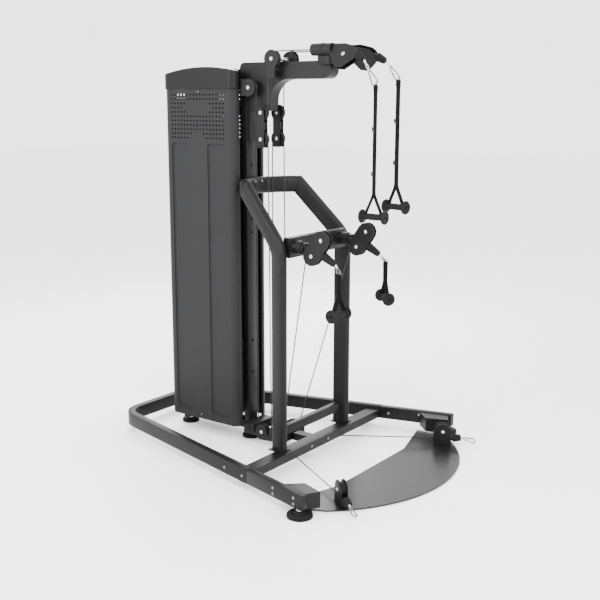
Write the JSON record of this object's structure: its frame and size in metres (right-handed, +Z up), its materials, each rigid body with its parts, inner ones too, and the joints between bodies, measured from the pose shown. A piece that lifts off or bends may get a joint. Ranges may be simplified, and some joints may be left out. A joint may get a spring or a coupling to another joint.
{
  "type": "cable training machine",
  "caption": "Cable gym machine: covered weight tower, boom with high swivel pulleys, portal frame with chest-height swivel heads, splayed base and half-moon foot plate.",
  "frame": {"origin": "middle of the footprint's bounding box, on the floor", "axes": "+Z up, -Y towards the user, X across; the frame is symmetric about X = 0"},
  "size_m": [1.6856, 2.09, 2.35],
  "materials": {
    "tube_paint": "satin charcoal powder coat",
    "sheet_paint": "fine textured dark grey powder coat on sheet steel",
    "moulded_nylon": "black moulded nylon",
    "rubber": "black rubber",
    "bright_steel": "bright plated steel",
    "cast_iron": "black painted cast iron",
    "webbing": "black woven webbing",
    "cable_coat": "grey-black nylon coat over steel rope",
    "plate_paint": "grey painted tread plate"
  },
  "bodies": {
    "frame": {"base_bow_rear": "tube_paint", "base_leg_left": "tube_paint", "base_leg_right": "tube_paint", "beam_middle": "tube_paint", "boom_arm": "tube_paint", "cable_lower_left": "cable_coat", "cable_lower_right": "cable_coat", "cable_upper": "cable_coat", "column_front": "tube_paint", "column_rear": "tube_paint", "cross_bar_lower": "tube_paint", "cross_tube_front": "tube_paint", "cross_tube_upper": "tube_paint", "foot_column_front": "rubber", "foot_column_rear": "rubber", "foot_front_left": "rubber", "foot_front_right": "rubber", "foot_plate": "plate_paint", "guide_rods": "bright_steel", "low_bracket_left": "tube_paint", "low_bracket_right": "tube_paint", "post_left": "tube_paint", "post_right": "tube_paint", "shroud_left": "sheet_paint", "shroud_right": "sheet_paint", "tower_cap": "moulded_nylon", "weight_stack_lower": "cast_iron"},
    "stack": {"weight_stack_upper": "cast_iron"},
    "selector_pin": {"selector_pin": "bright_steel"},
    "block_left": {"block_left": "tube_paint"},
    "block_right": {"block_right": "tube_paint"},
    "top_head_left": {"top_head_left": "tube_paint"},
    "top_head_right": {"top_head_right": "tube_paint"},
    "mid_head_left": {"mid_head_left": "tube_paint"},
    "mid_head_right": {"mid_head_right": "tube_paint"},
    "top_handle_left": {"top_strap_left": "webbing", "top_grip_left": "rubber"},
    "top_handle_right": {"top_strap_right": "webbing", "top_grip_right": "rubber"},
    "mid_handle_left": {"mid_strap_left": "webbing", "mid_grip_left": "rubber"},
    "mid_handle_right": {"mid_strap_right": "webbing", "mid_grip_right": "rubber"},
    "base_pulley_front": {"base_pulley_front": "moulded_nylon"},
    "base_pulley_rear": {"base_pulley_rear": "moulded_nylon"},
    "boom_pulley": {"boom_pulley": "moulded_nylon"},
    "column_pulley": {"column_pulley": "moulded_nylon"},
    "tower_pulley": {"tower_pulley": "moulded_nylon"},
    "block_pulley_lower_left": {"block_pulley_lower_left": "moulded_nylon"},
    "block_pulley_lower_right": {"block_pulley_lower_right": "moulded_nylon"},
    "block_pulley_upper_left": {"block_pulley_upper_left": "moulded_nylon"},
    "block_pulley_upper_right": {"block_pulley_upper_right": "moulded_nylon"},
    "low_pulley_left": {"low_pulley_left": "moulded_nylon"},
    "low_pulley_right": {"low_pulley_right": "moulded_nylon"},
    "mid_pulley_lower_left": {"mid_pulley_lower_left": "moulded_nylon"},
    "mid_pulley_lower_right": {"mid_pulley_lower_right": "moulded_nylon"},
    "mid_pulley_upper_left": {"mid_pulley_upper_left": "moulded_nylon"},
    "mid_pulley_upper_right": {"mid_pulley_upper_right": "moulded_nylon"},
    "top_head_pulley_left": {"top_head_pulley_left": "moulded_nylon"},
    "top_head_pulley_right": {"top_head_pulley_right": "moulded_nylon"}
  },
  "joints": [
    {"name": "stack_lift", "type": "slide", "parent": "frame", "child": "stack", "axis": [0, 0, 1], "range_m": [0, 0.9], "deforming": ["cable_upper"]},
    {"name": "pin_pull", "type": "slide", "parent": "stack", "child": "selector_pin", "axis": [1, 0, 0], "range_m": [0, 0.05]},
    {"name": "block_slide_left", "type": "slide", "parent": "frame", "child": "block_left", "axis": [0, 0, -1], "range_m": [0, 0.45], "deforming": ["cable_lower_left"]},
    {"name": "block_slide_right", "type": "slide", "parent": "frame", "child": "block_right", "axis": [0, 0, -1], "range_m": [0, 0.45], "deforming": ["cable_lower_right"]},
    {"name": "base_pulley_rear_spin", "type": "hinge", "parent": "frame", "child": "base_pulley_rear", "pos_m": [0, 0.13, 0.088], "axis": [1, 0, 0], "continuous": true},
    {"name": "base_pulley_front_spin", "type": "hinge", "parent": "frame", "child": "base_pulley_front", "pos_m": [0, 0.03, 0.096], "axis": [1, 0, 0], "continuous": true},
    {"name": "boom_pulley_spin", "type": "hinge", "parent": "frame", "child": "boom_pulley", "pos_m": [0, 0.046, 2.275], "axis": [1, 0, 0], "continuous": true},
    {"name": "column_pulley_spin", "type": "hinge", "parent": "frame", "child": "column_pulley", "pos_m": [0, 0.214, 2.12], "axis": [1, 0, 0], "continuous": true},
    {"name": "tower_pulley_spin", "type": "hinge", "parent": "frame", "child": "tower_pulley", "pos_m": [0, 0.5, 2.12], "axis": [1, 0, 0], "continuous": true},
    {"name": "block_upper_spin_left", "type": "hinge", "parent": "block_left", "child": "block_pulley_upper_left", "pos_m": [-0.075, 0.13, 1.981], "axis": [1, 0, 0], "continuous": true},
    {"name": "block_lower_spin_left", "type": "hinge", "parent": "block_left", "child": "block_pulley_lower_left", "pos_m": [-0.075, 0.13, 1.832], "axis": [1, 0, 0], "continuous": true},
    {"name": "low_pulley_spin_left", "type": "hinge", "parent": "frame", "child": "low_pulley_left", "pos_m": [-0.55, -0.75, 0.093], "axis": [0.809, -0.5878, 0], "continuous": true},
    {"name": "top_head_swivel_left", "type": "hinge", "parent": "frame", "child": "top_head_left", "pos_m": [-0.075, -0.341, 2.317], "axis": [0, 1, 0], "range_deg": [-10, 60]},
    {"name": "top_pulley_spin_left", "type": "hinge", "parent": "top_head_left", "child": "top_head_pulley_left", "pos_m": [-0.096, -0.44, 2.28063], "axis": [0.866, 0, -0.5], "continuous": true},
    {"name": "top_handle_swing_left", "type": "hinge", "parent": "top_head_left", "child": "top_handle_left", "pos_m": [-0.1129, -0.57335, 2.25135], "axis": [1, 0, 0], "range_deg": [-60, 20]},
    {"name": "mid_head_swivel_left", "type": "hinge", "parent": "frame", "child": "mid_head_left", "pos_m": [-0.225, -0.27, 1.262], "axis": [0, 1, 0], "range_deg": [-25, 60]},
    {"name": "mid_upper_spin_left", "type": "hinge", "parent": "mid_head_left", "child": "mid_pulley_upper_left", "pos_m": [-0.225, -0.395, 1.313], "axis": [1, 0, 0], "continuous": true},
    {"name": "mid_lower_spin_left", "type": "hinge", "parent": "mid_head_left", "child": "mid_pulley_lower_left", "pos_m": [-0.225, -0.332, 1.222], "axis": [1, 0, 0], "continuous": true},
    {"name": "mid_handle_swing_left", "type": "hinge", "parent": "mid_head_left", "child": "mid_handle_left", "pos_m": [-0.225, -0.48443, 1.18553], "axis": [1, 0, 0], "range_deg": [-60, 20]},
    {"name": "block_upper_spin_right", "type": "hinge", "parent": "block_right", "child": "block_pulley_upper_right", "pos_m": [0.075, 0.13, 1.981], "axis": [1, 0, 0], "continuous": true},
    {"name": "block_lower_spin_right", "type": "hinge", "parent": "block_right", "child": "block_pulley_lower_right", "pos_m": [0.075, 0.13, 1.832], "axis": [1, 0, 0], "continuous": true},
    {"name": "low_pulley_spin_right", "type": "hinge", "parent": "frame", "child": "low_pulley_right", "pos_m": [0.55, -0.75, 0.093], "axis": [0.809, 0.5878, 0], "continuous": true},
    {"name": "top_head_swivel_right", "type": "hinge", "parent": "frame", "child": "top_head_right", "pos_m": [0.075, -0.341, 2.317], "axis": [0, 1, 0], "range_deg": [-60, 10]},
    {"name": "top_pulley_spin_right", "type": "hinge", "parent": "top_head_right", "child": "top_head_pulley_right", "pos_m": [0.096, -0.44, 2.28063], "axis": [0.866, 0, 0.5], "continuous": true},
    {"name": "top_handle_swing_right", "type": "hinge", "parent": "top_head_right", "child": "top_handle_right", "pos_m": [0.1129, -0.57335, 2.25135], "axis": [1, 0, 0], "range_deg": [-60, 20]},
    {"name": "mid_head_swivel_right", "type": "hinge", "parent": "frame", "child": "mid_head_right", "pos_m": [0.225, -0.27, 1.262], "axis": [0, 1, 0], "range_deg": [-60, 25]},
    {"name": "mid_upper_spin_right", "type": "hinge", "parent": "mid_head_right", "child": "mid_pulley_upper_right", "pos_m": [0.225, -0.395, 1.313], "axis": [1, 0, 0], "continuous": true},
    {"name": "mid_lower_spin_right", "type": "hinge", "parent": "mid_head_right", "child": "mid_pulley_lower_right", "pos_m": [0.225, -0.332, 1.222], "axis": [1, 0, 0], "continuous": true},
    {"name": "mid_handle_swing_right", "type": "hinge", "parent": "mid_head_right", "child": "mid_handle_right", "pos_m": [0.225, -0.48443, 1.18553], "axis": [1, 0, 0], "range_deg": [-60, 20]}
  ],
  "couplings": [
    {"joint": "block_slide_left", "follows": "stack_lift", "ratio": 0.5},
    {"joint": "block_slide_right", "follows": "stack_lift", "ratio": 0.5}
  ]
}
